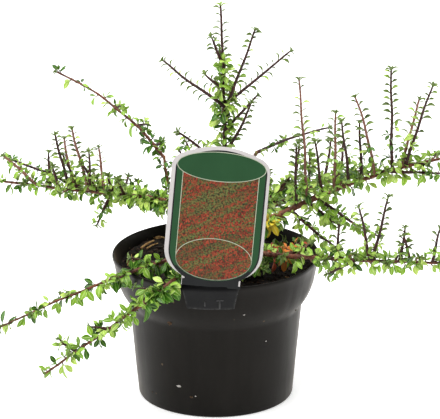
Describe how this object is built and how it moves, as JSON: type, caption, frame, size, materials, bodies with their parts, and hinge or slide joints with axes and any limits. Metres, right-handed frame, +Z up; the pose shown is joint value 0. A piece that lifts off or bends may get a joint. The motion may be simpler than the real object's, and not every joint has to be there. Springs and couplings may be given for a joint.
{
  "type": "potted dwarf cotoneaster",
  "caption": "Young spreading evergreen shrub in a round black nursery pot of compost, with arching leafy boughs, upright shoots and a tall picture label hooked over the rim.",
  "frame": {"origin": "centre of the pot's flat underside, on the ground", "axes": "+Z up the plant, the label faces -Y, +X to the right as the label is read"},
  "size_m": [0.3693, 0.2846, 0.318],
  "materials": {
    "pot": "satin",
    "compost": "matte",
    "label": "satin",
    "bark": "matte",
    "foliage": "satin"
  },
  "bodies": {
    "root": {"pot": "pot", "compost": "compost", "label": "label", "trunk": "bark", "bough_right": "bark", "bough_left": "bark", "bough_leader": "bark", "bough_back_left": "bark", "bough_back_right": "bark", "bough_back": "bark", "bough_back_left_low": "bark", "bough_back_right_low": "bark", "bough_right_low": "bark", "bough_front_left_high": "bark", "bough_front_left_low": "bark", "foliage_right": "foliage", "foliage_left": "foliage", "foliage_leader": "foliage", "foliage_back_left": "foliage", "foliage_back_right": "foliage", "foliage_back": "foliage", "foliage_back_left_low": "foliage", "foliage_back_right_low": "foliage", "foliage_right_low": "foliage", "foliage_front_left_high": "foliage", "foliage_front_left_low": "foliage", "foliage_inner_right": "foliage", "foliage_basal_right": "foliage", "foliage_basal_front": "foliage"}
  },
  "joints": []
}
